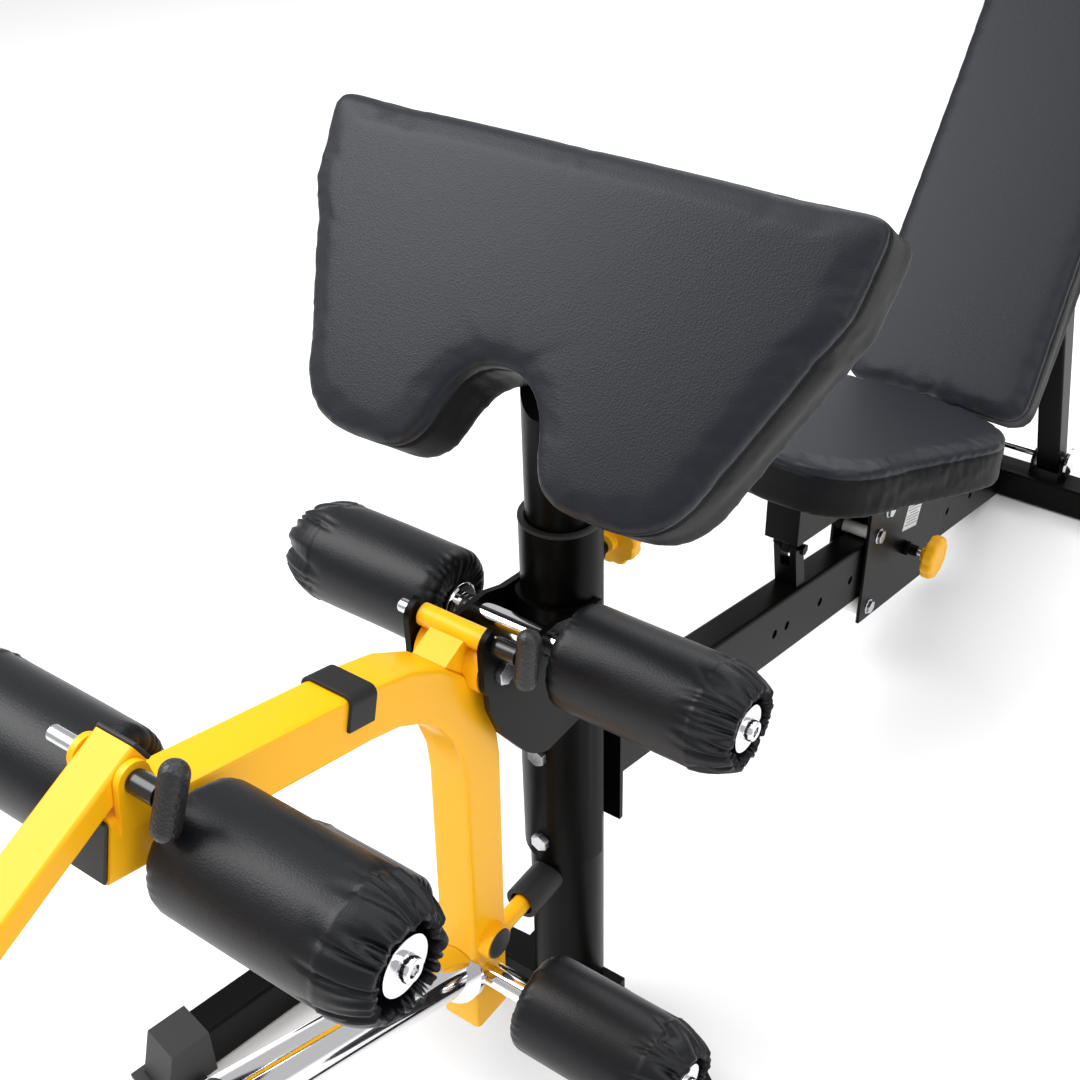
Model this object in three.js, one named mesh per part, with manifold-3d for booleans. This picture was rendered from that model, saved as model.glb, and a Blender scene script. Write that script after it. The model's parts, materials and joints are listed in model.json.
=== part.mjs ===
// Adjustable weight bench: a post with a leg developer and a preacher pad, and a sliding
// seat and back on a sloping rail. Millimetres, +Z up, floor at Z = 0. X is across the bench,
// +Y runs from the leg developer to the back rest, and the post's axis is X = 0, Y = 0.

import * as THREE from 'three';
import { mergeVertices } from 'three/addons/utils/BufferGeometryUtils.js';
import Module from 'manifold-3d';

const wasm = await Module();
wasm.setup();

// ---------- driving dimensions ----------

const GAP = 0.3;                        // clearance kept between touching pieces
const FIT = 0.6;                        // diametral clearance of a pin in its hole

const POST = { d: 76.2, wall: 3, foot: 64, top: 677 };
const BASE = { w: 40, h: 60, y: -6, half: 62, bendR: 216, splay: 11, leg: 154, wall: 2.5 };
const RAIL = { w: 40, h: 88, wall: 3, slope: 14.9, topAtPost: 411, start: 47, end: 1244 };
const RAIL_HOLES = [418, 451, 546, 640, 735, 810, 905, 1000, 1100];
const CROSSBAR = { y: 1270, size: 50, half: 290, wall: 2.5, lift: 2 };
const BAR_CAP = { length: 54, end: 8, side: 4, top: 4 };
const LUG_T = 5;
const CLAMP_BOLTS = [423, 305];         // heights of the two bolts through the post
const BOLT = { d: 10, across: 17 };     // every fixing bolt
const PIVOT_BOLT = { d: 12, across: 19 };
const SPRING_PIN = { d: 10, plunger: 9.8, standOff: 0.5 };
const HOLE_R = 6.3;                     // adjustment holes in the rail and the strut's pivot
const BRACKET = { inner: 35.2, t: 6, bottom: 275, top: 603, plateBottom: 484, lockR: 17, wrapT: 5 };

const HINGE = { y: -146, z: 622, r: 24, half: 33 };
const LOCK = { y: -153, z: 654, tubeR: 10, pinD: 12 };
const ROLLER = { r: 50, bore: 26, shaftD: 25, round: 10, disc: 21 };
const UPPER_SHAFT = { y: -75, z: 602, from: 62, to: 228 };
const FRONT_SHAFT = { y: -468, z: 707, from: 36, to: 208 };
const LOWER_SHAFT = { y: -168, z: 247, from: 78, to: 240 };

const ARM = { w: 44, h: 49, wall: 2.5, tilt: 15.5, endY: -520.5, endZ: 732, bendR: 158 };
const BAND = { from: 219, length: 29, low: -2, t: 3.5 };
const LEG_FOOT = [-163.5, 178];         // Y, Z of the lever's lower end
const LEG_TOP = [-149, 629];            // Y, Z where the arm's and the leg's centre lines cross
const BUMPER = { z: 247, rodD: 19, cupD: 36, mouth: 26, front: -83, depth: 13 };
const STUB = { y: -163, z: 291, d: 36, half: 34 };
const SLEEVE = { d: 48.5, wall: 3, length: 335, rise: 25, collarD: 66, z: 250 };
const EAR = { inner: 18.6, t: 5.2, r: 13 };
const CURL = {
  y: -492, z: 775, slope: 24.5, w: 35.4, h: 20, wall: 2, tail: 15, length: 330, lift: 2.5,
  barR: 12.5, barHalf: 165, gripR: 17, grip: 120,
};

const INNER_TUBE = { d: 63.5, wall: 3, bottom: 460, top: 818, holes: [0, 40, 80, 120] };
const PAD_TOP = { y: 47, z: 995, angle: 52 };
const PREACHER = { halfTop: 253, height: 269, notch: 181, t: 64, crown: 6 };
const HANDLE = { r: 10, straight: 36, stemR: 8.5, pinR: 6 };
const POP_Z = 604;                      // height of the preacher tube's spring pin

const PLATE = { inner: 23, t: 5 };
const GUIDE_R = { upper: 9, lower: 16 };
const AXLES = {
  frontUpper: [702, 244.5], frontLower: [696, 128], seat: [729, 272], rearUpper: [936, 191],
};
const KNOB = { y: 810, r: 32, t: 18, lobes: 8, from: 63 };
const REAR_KNOB = { r: 29, t: 18, lobes: 8, from: 78 };

const SEAT = { tilt: 13.2, frontY: 452, frontZ: 494, t: 60, length: 372 };
const SEAT_TUBE = { w: 44, h: 56, front: 455, end: 330, wall: 3 };
const PROP = { y: 478, z: 356, r: 10, halfW: 15, pinR: 4 };

const FRAME_TUBE = { w: 44, h: 38, wall: 2.5 };
const LINK_HALF = 19;
const BACK = { y: 895, z: 352, angle: 51.5, t: 60, length: 720, halfW: 137 };
const STRUT = {
  y: 1285, z: 78, topY: 1123.3, topZ: 462.3, x: 87, size: 38, past: 14, tie: 250, lugs: [60, 108],
};

// ---------- materials ----------

const paint = (color, roughness, metalness) =>
  new THREE.MeshStandardMaterial({ color, roughness, metalness });
const blackPaint = paint(0x17171a, 0.45, 0.3);
const yellowPaint = paint(0xffb81c, 0.3, 0.1);
const yellowPlastic = paint(0xf5a800, 0.5, 0);
const vinyl = paint(0x232428, 0.55, 0);
const blackPlastic = paint(0x1b1b1d, 0.6, 0);
const rubber = paint(0x141414, 0.85, 0);
const chrome = paint(0xd8d8da, 0.15, 1);
const zinc = paint(0xb9bcc0, 0.35, 1);
const nylon = paint(0xf2f2f0, 0.5, 0);

// ---------- helpers ----------

const rad = THREE.MathUtils.degToRad;
const bench = new THREE.Group();

// A closed, indexed solid for booleans, from any closed three.js geometry.
function solid(geometry) {
  const bare = geometry.clone();
  bare.deleteAttribute('normal');
  bare.deleteAttribute('uv');
  const merged = mergeVertices(bare, 1e-4);
  return new wasm.Manifold(new wasm.Mesh({
    numProp: 3,
    vertProperties: new Float32Array(merged.attributes.position.array),
    triVerts: new Uint32Array(merged.index.array),
  }));
}

function toGeometry(manifold) {
  const mesh = manifold.getMesh();
  const geometry = new THREE.BufferGeometry();
  geometry.setAttribute('position', new THREE.BufferAttribute(mesh.vertProperties, 3));
  geometry.setIndex(new THREE.BufferAttribute(mesh.triVerts, 1));
  return geometry;
}

function add(name, shape, material) {
  const mesh = new THREE.Mesh(toGeometry(shape), material);
  mesh.name = name;
  bench.add(mesh);
  return shape;
}

const join = (...shapes) => shapes.reduce((a, b) => a.add(b));
const cut = (shape, ...tools) => tools.reduce((a, b) => a.subtract(b), shape);
const shifted = (geometry, x, y, z) => solid(geometry.translate(x, y, z));

// A box from its lowest to its highest corner.
function box(low, high) {
  const size = high.map((v, i) => v - low[i]);
  const middle = high.map((v, i) => (v + low[i]) / 2);
  return shifted(new THREE.BoxGeometry(...size), ...middle);
}

// Cylinders along each axis.
function rodX(r, x0, x1, y, z, segments = 24) {
  const g = new THREE.CylinderGeometry(r, r, x1 - x0, segments).rotateZ(Math.PI / 2);
  return shifted(g, (x0 + x1) / 2, y, z);
}
function rodY(r, y0, y1, x, z, segments = 24) {
  return shifted(new THREE.CylinderGeometry(r, r, y1 - y0, segments), x, (y0 + y1) / 2, z);
}
function rodZ(r, z0, z1, x, y, segments = 36) {
  const g = new THREE.CylinderGeometry(r, r, z1 - z0, segments).rotateX(Math.PI / 2);
  return shifted(g, x, y, (z0 + z1) / 2);
}

// A lathe of [radius, distance] points about the X axis through (y, z).
function latheX(profile, y, z, segments = 28) {
  const points = profile.map(([r, along]) => new THREE.Vector2(r, along));
  const g = new THREE.LatheGeometry(points, segments).rotateZ(-Math.PI / 2);
  return shifted(g, 0, y, z);
}

// An outline in the Y-Z plane, extruded across X from x0 to x1.
const toYZ = new THREE.Matrix4().makeBasis(
  new THREE.Vector3(0, 1, 0), new THREE.Vector3(0, 0, 1), new THREE.Vector3(1, 0, 0));
const outlineOf = (points) => new THREE.Shape(points.map((p) => new THREE.Vector2(...p)));
function prismX(shape, x0, x1, curveSegments = 6) {
  const outline = Array.isArray(shape) ? outlineOf(shape) : shape;
  const g = new THREE.ExtrudeGeometry(outline, { depth: x1 - x0, bevelEnabled: false, curveSegments });
  return solid(g.applyMatrix4(toYZ).translate(x0, 0, 0));
}

// A rectangle with rounded corners, centred on the origin.
function roundedRect(w, h, r) {
  const s = new THREE.Shape();
  const [x, y] = [w / 2 - r, h / 2 - r];
  s.absarc(x, y, r, 0, Math.PI / 2);
  s.absarc(-x, y, r, Math.PI / 2, Math.PI);
  s.absarc(-x, -y, r, Math.PI, 1.5 * Math.PI);
  s.absarc(x, -y, r, 1.5 * Math.PI, 2 * Math.PI);
  s.closePath();
  return s;
}

// A box section with walls; a wall of 0 makes it solid.
function boxSection(w, h, wall, r = 5) {
  const s = roundedRect(w, h, r);
  if (wall) s.holes.push(roundedRect(w - 2 * wall, h - 2 * wall, Math.max(r - wall, 1)));
  return s;
}

function sweep(section, path, steps, curveSegments = 3) {
  return solid(new THREE.ExtrudeGeometry(section, { extrudePath: path, steps, curveSegments }));
}

// A straight tube of a section from one point to another.
function straight(section, from, to) {
  const line = new THREE.LineCurve3(new THREE.Vector3(...from), new THREE.Vector3(...to));
  return sweep(section, line, 1);
}

// A path of straight, arc, straight: a corner in a plane, rounded to a radius.
function roundedCorner(start, corner, end, radius) {
  const [a, c, b] = [start, corner, end].map((p) => new THREE.Vector3(...p));
  const toA = a.clone().sub(c).normalize();
  const toB = b.clone().sub(c).normalize();
  const half = toA.angleTo(toB) / 2;
  const t0 = c.clone().addScaledVector(toA, radius / Math.tan(half));
  const t1 = c.clone().addScaledVector(toB, radius / Math.tan(half));
  const centre = c.clone().addScaledVector(toA.clone().add(toB).normalize(), radius / Math.sin(half));
  const spoke0 = t0.clone().sub(centre);
  const spoke1 = t1.clone().sub(centre);
  const axis = spoke0.clone().cross(spoke1).normalize();
  const turn = spoke0.angleTo(spoke1);
  const arc = new THREE.Curve();
  arc.getPoint = (t, target = new THREE.Vector3()) =>
    target.copy(spoke0).applyAxisAngle(axis, turn * t).add(centre);
  return [new THREE.LineCurve3(a, t0), arc, new THREE.LineCurve3(t1, b)];
}

function pathOf(pieces) {
  const path = new THREE.CurvePath();
  pieces.forEach((p) => path.add(p));
  return path;
}

// A pad: an outline with a small chamfer round both faces, from z = low to z = high.
const PAD_EDGE = 4;
function padBlock(shape, low, high, curveSegments) {
  const g = new THREE.ExtrudeGeometry(shape, {
    depth: high - low - 2 * PAD_EDGE, bevelEnabled: true, bevelThickness: PAD_EDGE, bevelSize: PAD_EDGE,
    bevelSegments: 1, curveSegments,
  });
  return shifted(g, 0, 0, low + PAD_EDGE);
}

// A hexagon bolt head or nut on the X axis line through (y, z).
const hexX = (across, x0, x1, y, z) => rodX(across / Math.sqrt(3), x0, x1, y, z, 6);
const hexY = (across, y0, y1, x, z) => rodY(across / Math.sqrt(3), y0, y1, x, z, 6);

// A bolt across the bench: rod, head on the +X side and nut on the -X side.
function crossBolt({ d, across }, half, y, z) {
  return join(rodX(d / 2, -half - 8, half + 4, y, z, 20), hexX(across, half, half + 6, y, z),
    hexX(across, -half - 7, -half, y, z));
}

// A lobed knob about the X axis: its back at x = 0 and a short neck behind it.
function lobedKnob({ r, t, lobes }) {
  const rim = Array.from({ length: lobes * 4 }, (_, i) => {
    const a = (Math.PI * i) / (lobes * 2);
    const radius = r * (0.94 + 0.06 * Math.cos(lobes * a));
    return [radius * Math.cos(a), radius * Math.sin(a)];
  });
  return join(prismX(rim, 0, t), rodX(r * 0.34, -8, 1, 0, 0));
}

// ---------- base ----------

// The base tube runs across under the post, then bends forward into two splayed legs.
const baseZ = BASE.h / 2;
const splay = rad(BASE.splay);
const bendTurn = Math.PI / 2 - splay;
const cornerX = BASE.half + BASE.bendR * Math.tan(bendTurn / 2);
const legDir = new THREE.Vector2(Math.sin(splay), -Math.cos(splay));
const legRun = BASE.bendR * Math.tan(bendTurn / 2) + BASE.leg;
const legEnd = [cornerX + legDir.x * legRun, BASE.y + legDir.y * legRun];

function baseHalf(side) {
  return roundedCorner([0, BASE.y, baseZ], [side * cornerX, BASE.y, baseZ],
    [side * legEnd[0], legEnd[1], baseZ], BASE.bendR);
}
const reverse = (pieces) => pieces.slice().reverse().map((piece) => {
  const flipped = new THREE.Curve();
  flipped.getPoint = (t, target) => piece.getPoint(1 - t, target);
  return flipped;
});
const basePath = pathOf([...reverse(baseHalf(-1)), ...baseHalf(1)]);
const baseTube = sweep(boxSection(BASE.h, BASE.w, BASE.wall), basePath, 34, 1);
const baseSolid = sweep(boxSection(BASE.h + 2 * GAP, BASE.w + 2 * GAP, 0), basePath, 34, 1);
add('front_base', baseTube, blackPaint);

// Moulded foot caps: a tapering shell over each leg's end, with a flange on the floor.
const CAP = {
  w: 49, h: 65, toe: -6, taper: 12, heel: 58, rim: 9, rimToe: -16, rimHeel: 42, rimH: 6, over: 14,
};
for (const [name, side] of [['foot_cap_left', -1], ['foot_cap_right', 1]]) {
  const half = CAP.w / 2;
  const outline = [[CAP.toe, 0.1], [CAP.heel, 0.1], [CAP.heel, CAP.h], [CAP.taper, CAP.h]];
  const body = prismX(outline, -half, half);
  const rim = box([-half - CAP.rim, CAP.rimToe, 0], [half + CAP.rim, CAP.rimHeel, CAP.rimH]);
  const placed = join(body, rim)
    .rotate([0, 0, side * BASE.splay])
    .translate([side * (legEnd[0] + legDir.x * CAP.over), legEnd[1] + legDir.y * CAP.over, 0]);
  add(name, cut(placed, baseSolid), blackPlastic);
}

// ---------- post ----------

const postR = POST.d / 2;
const boltHoles = CLAMP_BOLTS.map((z) => rodY((BOLT.d + FIT) / 2, -70, 70, 0, z));
const popHole = rodY((SPRING_PIN.d + FIT) / 2 + 1, 20, 60, 0, POP_Z);

const SADDLE = { half: 61, bottom: 16, wall: 5 };
const [saddleFront, saddleBack] = [BASE.y - BASE.w / 2, BASE.y + BASE.w / 2];
const saddle = cut(
  box([-SADDLE.half, saddleFront - SADDLE.wall, SADDLE.bottom],
    [SADDLE.half, saddleBack + SADDLE.wall, POST.foot]),
  box([-SADDLE.half - 1, saddleFront - GAP, 0], [SADDLE.half + 1, saddleBack + GAP, BASE.h + GAP]));
const postTube = cut(rodZ(postR, POST.foot - 0.5, POST.top, 0, 0),
  rodZ(postR - POST.wall, POST.foot + 3, POST.top + 1, 0, 0));
add('front_post', cut(join(postTube, saddle), ...boltHoles, popHole), blackPaint);

const bushing = cut(
  join(rodZ(postR - POST.wall - GAP, POST.top - 61, POST.top + 1, 0, 0),
    rodZ(postR + 0.6, POST.top + GAP, POST.top + 4, 0, 0)),
  rodZ(INNER_TUBE.d / 2 + GAP, 600, 700, 0, 0));
add('post_bushing', bushing, blackPlastic);

// The spring pin's threaded boss stands on the back of the post.
const boss = cut(join(rodY(11, postR + GAP, 56, 0, POP_Z), rodY(8, 55, 66, 0, POP_Z)),
  rodY((SPRING_PIN.d + FIT) / 2, 30, 80, 0, POP_Z),
  rodZ(postR + GAP, POP_Z - 30, POP_Z + 30, 0, 0));
add('preacher_pin_boss', boss, blackPaint);

// ---------- rail and rear crossbar ----------

const slope = rad(RAIL.slope);
const railTop = (y) => RAIL.topAtPost - (y - postR) * Math.tan(slope);
const railMid = (y) => railTop(y) - RAIL.h / 2 / Math.cos(slope);
const along = (y) => [0, y, railMid(y)];

// Both ends are cut upright: the rail is swept too long, then trimmed.
const railBlank = straight(boxSection(RAIL.w, RAIL.h, RAIL.wall), along(0), along(1320));
const railTrim = box([-100, RAIL.start - 1, -200], [100, RAIL.end, 700]);
const flange = box([-postR, 41.5, 282], [postR, RAIL.start, 446]);
const postClear = rodZ(postR + GAP, 0, 700, 0, 0);
const sideHoles = RAIL_HOLES.map((y) => rodX(HOLE_R, -40, 40, y, railMid(y), 12));
const belowFloor = box([-100, 1200, -60], [100, 1300, GAP]);
add('main_rail', cut(join(railBlank.intersect(railTrim), flange), ...boltHoles, ...sideHoles, postClear,
  belowFloor), blackPaint);

const barHalf = CROSSBAR.size / 2;
const barY0 = CROSSBAR.y - barHalf;
const barMid = barHalf + CROSSBAR.lift;
const crossTube = straight(boxSection(CROSSBAR.size, CROSSBAR.size, CROSSBAR.wall),
  [-CROSSBAR.half, CROSSBAR.y, barMid], [CROSSBAR.half, CROSSBAR.y, barMid]);
const lugOutline = [[1272, 50], [1305, 50], [1305, 76], [1297, 88], [1273, 88], [1265, 76], [1265, 50]];
const lugs = [-STRUT.lugs[1] - LUG_T, -STRUT.lugs[0] - LUG_T, ...STRUT.lugs]
  .map((x) => prismX(lugOutline, x, x + LUG_T));
const strutPivotHole = rodX(HOLE_R, -130, 130, STRUT.y, STRUT.z);
add('rear_crossbar', cut(join(crossTube, ...lugs), strutPivotHole), blackPaint);

for (const [name, side] of [['crossbar_cap_left', -1], ['crossbar_cap_right', 1]]) {
  const x1 = CROSSBAR.half + BAR_CAP.end;
  const x0 = x1 - BAR_CAP.length;
  const barY1 = barY0 + CROSSBAR.size;
  const barTop = CROSSBAR.lift + CROSSBAR.size;
  const shell = box([x0, barY0 - BAR_CAP.side, 0], [x1, barY1 + BAR_CAP.side, barTop + BAR_CAP.top]);
  const pocket = box([x0 - 1, barY0 - GAP, CROSSBAR.lift - GAP],
    [CROSSBAR.half + GAP, barY1 + GAP, barTop + GAP]);
  const cap = cut(shell, pocket);
  add(name, side > 0 ? cap : cap.mirror([1, 0, 0]), blackPlastic);
}

// ---------- leg developer bracket ----------

const plateOut = BRACKET.inner + BRACKET.t;
const sidePlate = outlineOf([
  [0, BRACKET.top], [-40, 609], [-66, 619], [-108, 621], [-126, 632], [-137, 642]]);
sidePlate.absarc(LOCK.y, LOCK.z, BRACKET.lockR, rad(-20), rad(170), false);
sidePlate.absarc(HINGE.y, HINGE.z, HINGE.r, rad(172), rad(215), false);
[[-164, 590], [-151, 555], [-128, 522]].forEach((p) => sidePlate.lineTo(...p));
sidePlate.quadraticCurveTo(-108, BRACKET.plateBottom + 8, -84, BRACKET.plateBottom);
sidePlate.lineTo(0, BRACKET.plateBottom);
sidePlate.closePath();
const plates = join(prismX(sidePlate, BRACKET.inner, plateOut),
  prismX(sidePlate, -plateOut, -BRACKET.inner));
const wrapOuter = postR + GAP + BRACKET.wrapT;
const wrap = cut(rodZ(wrapOuter, BRACKET.bottom, BRACKET.top, 0, 0, 40),
  box([-60, 0, 200], [60, 60, 700]));
const lockHole = rodX((LOCK.pinD + FIT) / 2, -80, 80, LOCK.y, LOCK.z);
const hingeHole = rodX((PIVOT_BOLT.d + FIT) / 2, -80, 80, HINGE.y, HINGE.z);
const shaftHole = (place) => rodX((ROLLER.shaftD + FIT) / 2, -80, 80, place.y, place.z);
const notchMouth = box([-60, LOCK.y, LOCK.z - 8], [60, LOCK.y + 40, LOCK.z + 30]);
add('leg_bracket', cut(join(wrap, plates), rodZ(postR + GAP, 200, 700, 0, 0, 40), ...boltHoles,
  shaftHole(UPPER_SHAFT), hingeHole, lockHole, notchMouth), blackPaint);

for (const [i, z] of CLAMP_BOLTS.entries()) {
  const front = -wrapOuter - GAP;
  const nut = RAIL.start + GAP;
  const bolt = join(rodY(BOLT.d / 2, front - 2, nut + 14, 0, z, 20),
    hexY(BOLT.across, front - 7, front, 0, z), hexY(BOLT.across, nut, nut + 8, 0, z));
  add(`bracket_bolt_${['upper', 'lower'][i]}`, bolt, zinc);
}

const pivotHalf = plateOut + GAP;
add('lever_pivot_bolt', crossBolt(PIVOT_BOLT, pivotHalf, HINGE.y, HINGE.z), zinc);

// The bumper cup takes the lever's rod and stops the lever at rest.
add('bumper_cup', cut(rodY(BUMPER.cupD / 2, BUMPER.front, -20, 0, BUMPER.z, 28),
  rodY(BUMPER.mouth / 2, BUMPER.front - 1, BUMPER.front + BUMPER.depth, 0, BUMPER.z, 28),
  rodZ(postR + GAP, 100, 400, 0, 0)), rubber);

// ---------- roller pads and their shafts ----------

// A shaft with a disc inside and a screwed disc outside each pad, turned as one piece.
function rollerShaft({ from, to }) {
  const [r, disc, head] = [ROLLER.shaftD / 2, ROLLER.disc, 9];
  const side = [
    [r, from - 6], [disc - 2, from - 6], [disc, from - 4], [disc, from - 2], [r, from - 2],
    [r, to + 2], [disc, to + 2], [disc, to + 5], [head, to + 5], [head, to + 12], [0, to + 12]];
  const mirrored = side.slice().reverse().map(([radius, x]) => [radius, -x]);
  return [...mirrored, ...side];
}

function rollerSet(prefix, place) {
  add(`${prefix}_shaft`, latheX(rollerShaft(place), place.y, place.z, 16), chrome);
  for (const [name, side] of [['left', -1], ['right', 1]]) {
    const [a, b] = side > 0 ? [place.from, place.to] : [-place.to, -place.from];
    const [R, q, bore] = [ROLLER.r, ROLLER.round, ROLLER.bore / 2];
    const profile = [[bore, a], [R - q, a], [R - q * 0.3, a + q * 0.3], [R, a + q],
      [R, b - q], [R - q * 0.3, b - q * 0.3], [R - q, b], [bore, b], [bore, a]];
    add(`${prefix}_roller_${name}`, latheX(profile, place.y, place.z, 24), vinyl);
  }
}
rollerSet('upper', UPPER_SHAFT);
rollerSet('front', FRONT_SHAFT);
rollerSet('lower', LOWER_SHAFT);

// ---------- lever ----------

const tilt = rad(ARM.tilt);
const [armSide, armDeep] = [ARM.w / 2, ARM.h / 2];
const leverPath = pathOf(
  roundedCorner([0, ARM.endY, ARM.endZ], [0, ...LEG_TOP], [0, ...LEG_FOOT], ARM.bendR));
const leverOuter = (extra) => sweep(boxSection(ARM.w + extra, ARM.h + extra, 0), leverPath, 22, 1);
const legLean = (LEG_TOP[0] - LEG_FOOT[0]) / (LEG_TOP[1] - LEG_FOOT[1]);
const legY = (z) => LEG_FOOT[0] + (z - LEG_FOOT[1]) * legLean;

const leverTube = sweep(boxSection(ARM.w, ARM.h, ARM.wall), leverPath, 22, 1);
const innerVoid = leverOuter(-2 * ARM.wall);
const rodEnd = BUMPER.front + BUMPER.depth - GAP;
const bumperRod = rodY(BUMPER.rodD / 2, legY(BUMPER.z) + 10, rodEnd, 0, BUMPER.z);
const stub = rodX(STUB.d / 2, -STUB.half, STUB.half, STUB.y, STUB.z, 28);

// Clevis ears stand on the arm's top, in line with its sides.
const earShape = new THREE.Shape();
earShape.moveTo(CURL.y - 18, CURL.z - 34);
earShape.lineTo(CURL.y - EAR.r, CURL.z);
earShape.absarc(CURL.y, CURL.z, EAR.r, Math.PI, 0, true);
earShape.lineTo(CURL.y + EAR.r + 10, CURL.z - 42);
earShape.closePath();
const ears = [-EAR.inner - EAR.t, EAR.inner].map((x) => prismX(earShape, x, x + EAR.t, 8));
const curlPinHole = rodX((12 + FIT) / 2, -80, 80, CURL.y, CURL.z);
add('lever_tube', cut(join(leverTube, cut(join(bumperRod, stub, ...ears), innerVoid)),
  shaftHole(FRONT_SHAFT), shaftHole(LOWER_SHAFT), curlPinHole), yellowPaint);

// Hinge barrel, lock-pin barrel and the web that ties them to the bend.
const web = prismX([[-200, 640], [-164, 655], [-153, 650], [-150, 600], [-190, 600]], -17, 17);
const barrels = join(rodX(HINGE.r, -HINGE.half, HINGE.half, HINGE.y, HINGE.z, 32),
  rodX(LOCK.tubeR, -HINGE.half, HINGE.half, LOCK.y, LOCK.z + 0.5, 24), web);
add('lever_hinge', cut(barrels, leverOuter(2 * GAP), hingeHole, lockHole), yellowPaint);

// Pieces on the arm are made level at the arm's end, then tilted with it.
function onArm(shape) {
  return shape.rotate([-ARM.tilt, 0, 0]).translate([0, ARM.endY, ARM.endZ]);
}
const bandEnd = BAND.from + BAND.length;
const band = cut(
  box([-armSide - BAND.t, BAND.from, BAND.low], [armSide + BAND.t, bandEnd, armDeep + BAND.t]),
  box([-armSide - GAP, BAND.from - 1, BAND.low - 1], [armSide + GAP, bandEnd + 1, armDeep + GAP]));
add('arm_band', onArm(band), rubber);
const inWall = ARM.wall + GAP + 2;
const plugHead = box([2 - armSide, -3, 2 - armDeep], [armSide - 2, -GAP, armDeep - 2]);
const plugCore = box([inWall - armSide, -1, inWall - armDeep], [armSide - inWall, 14, armDeep - inWall]);
add('arm_end_plug', onArm(join(plugHead, plugCore)), blackPlastic);

// Weight sleeve, rising forwards from the leg.
const [sleeveR, collarR] = [SLEEVE.d / 2, SLEEVE.collarD / 2];
const boreR = sleeveR - SLEEVE.wall;
const sleeveProfile = [[boreR, 0], [sleeveR, 0], [sleeveR, 14], [collarR, 14], [collarR, 22],
  [sleeveR, 22], [sleeveR, SLEEVE.length], [boreR, SLEEVE.length], [boreR, 0]];
function onSleeve(profile, segments = 32) {
  const points = profile.map(([r, x]) => new THREE.Vector2(r, x));
  const g = new THREE.LatheGeometry(points, segments).rotateX(Math.PI - rad(SLEEVE.rise));
  return shifted(g, 0, legY(SLEEVE.z) - 12, SLEEVE.z);
}
const legFront = box([-60, legY(SLEEVE.z + 20) - armDeep - GAP, 150], [60, -100, 350]);
add('weight_sleeve', cut(onSleeve(sleeveProfile), leverOuter(2 * GAP), legFront), chrome);
const [capR, capAt] = [boreR - GAP, SLEEVE.length + GAP];
add('sleeve_cap', onSleeve([[0, capAt - 16], [capR, capAt - 16], [capR, capAt], [sleeveR, capAt],
  [sleeveR - 2, capAt + 5], [0, capAt + 6]]), blackPlastic);

// ---------- T-handle pins ----------

// A pin across the bench, its collar outside the +X plate, and an upright capsule handle.
function handlePin(prefix, { y, z }, { tip, stem, x, lean }) {
  const flat = x - HANDLE.r + 1;        // the grip is cut flat where the stem meets it
  const profile = [[0, tip], [HANDLE.pinR - 1, tip], [HANDLE.pinR, tip + 2], [HANDLE.pinR, stem],
    [HANDLE.stemR, stem], [HANDLE.stemR, flat - GAP], [0, flat - GAP]];
  add(`${prefix}_pin`, latheX(profile, y, z, 20), zinc);
  const g = new THREE.CapsuleGeometry(HANDLE.r, HANDLE.straight, 4, 12)
    .rotateX(Math.PI / 2 - rad(lean));
  const grip = cut(shifted(g, x, y, z), box([0, y - 60, z - 60], [flat, y + 60, z + 60]));
  add(`${prefix}_pin_handle`, grip, blackPlastic);
}
handlePin('lock', LOCK, { tip: -58, stem: plateOut + GAP, x: 73, lean: 10 });
handlePin('curl', CURL, { tip: -54, stem: EAR.inner + EAR.t + GAP, x: 55, lean: 24 });

// ---------- curl arm ----------

// Made along -Y from the pin, then turned down to rest on the arm's end.
const curlFlat = (shape) => shape.rotate([CURL.slope, 0, 0]).translate([0, CURL.y, CURL.z]);
const curlTube = straight(boxSection(CURL.h, CURL.w, CURL.wall, 3),
  [0, CURL.tail, CURL.lift], [0, -CURL.length, CURL.lift]);
const barY = -CURL.length - 10;
const curlBar = rodX(CURL.barR, -CURL.barHalf, CURL.barHalf, barY, CURL.lift);
const curlPivot = rodX((PIVOT_BOLT.d + FIT) / 2, -60, 60, 0, 0);
add('curl_arm', curlFlat(cut(join(curlTube, curlBar), curlPivot)), yellowPaint);
const [halfW, halfH] = [CURL.w / 2, CURL.h / 2];
const capHead = box([-halfW, CURL.tail + GAP, CURL.lift - halfH],
  [halfW, CURL.tail + 3.5, CURL.lift + halfH]);
const capCore = box([3 - halfW, CURL.tail - 8, CURL.lift - halfH + 3],
  [halfW - 3, CURL.tail + 1, CURL.lift + halfH - 3]);
add('curl_arm_cap', curlFlat(join(capHead, capCore)), blackPlastic);
for (const [name, side] of [['curl_grip_left', -1], ['curl_grip_right', 1]]) {
  const inner = CURL.barHalf - CURL.grip;
  const grip = cut(rodX(CURL.gripR, inner, CURL.barHalf + 4, barY, CURL.lift),
    rodX(CURL.barR + GAP, inner - 1, CURL.barHalf + GAP, barY, CURL.lift));
  add(name, curlFlat(side > 0 ? grip : grip.mirror([1, 0, 0])), rubber);
}

// ---------- preacher pad ----------

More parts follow.
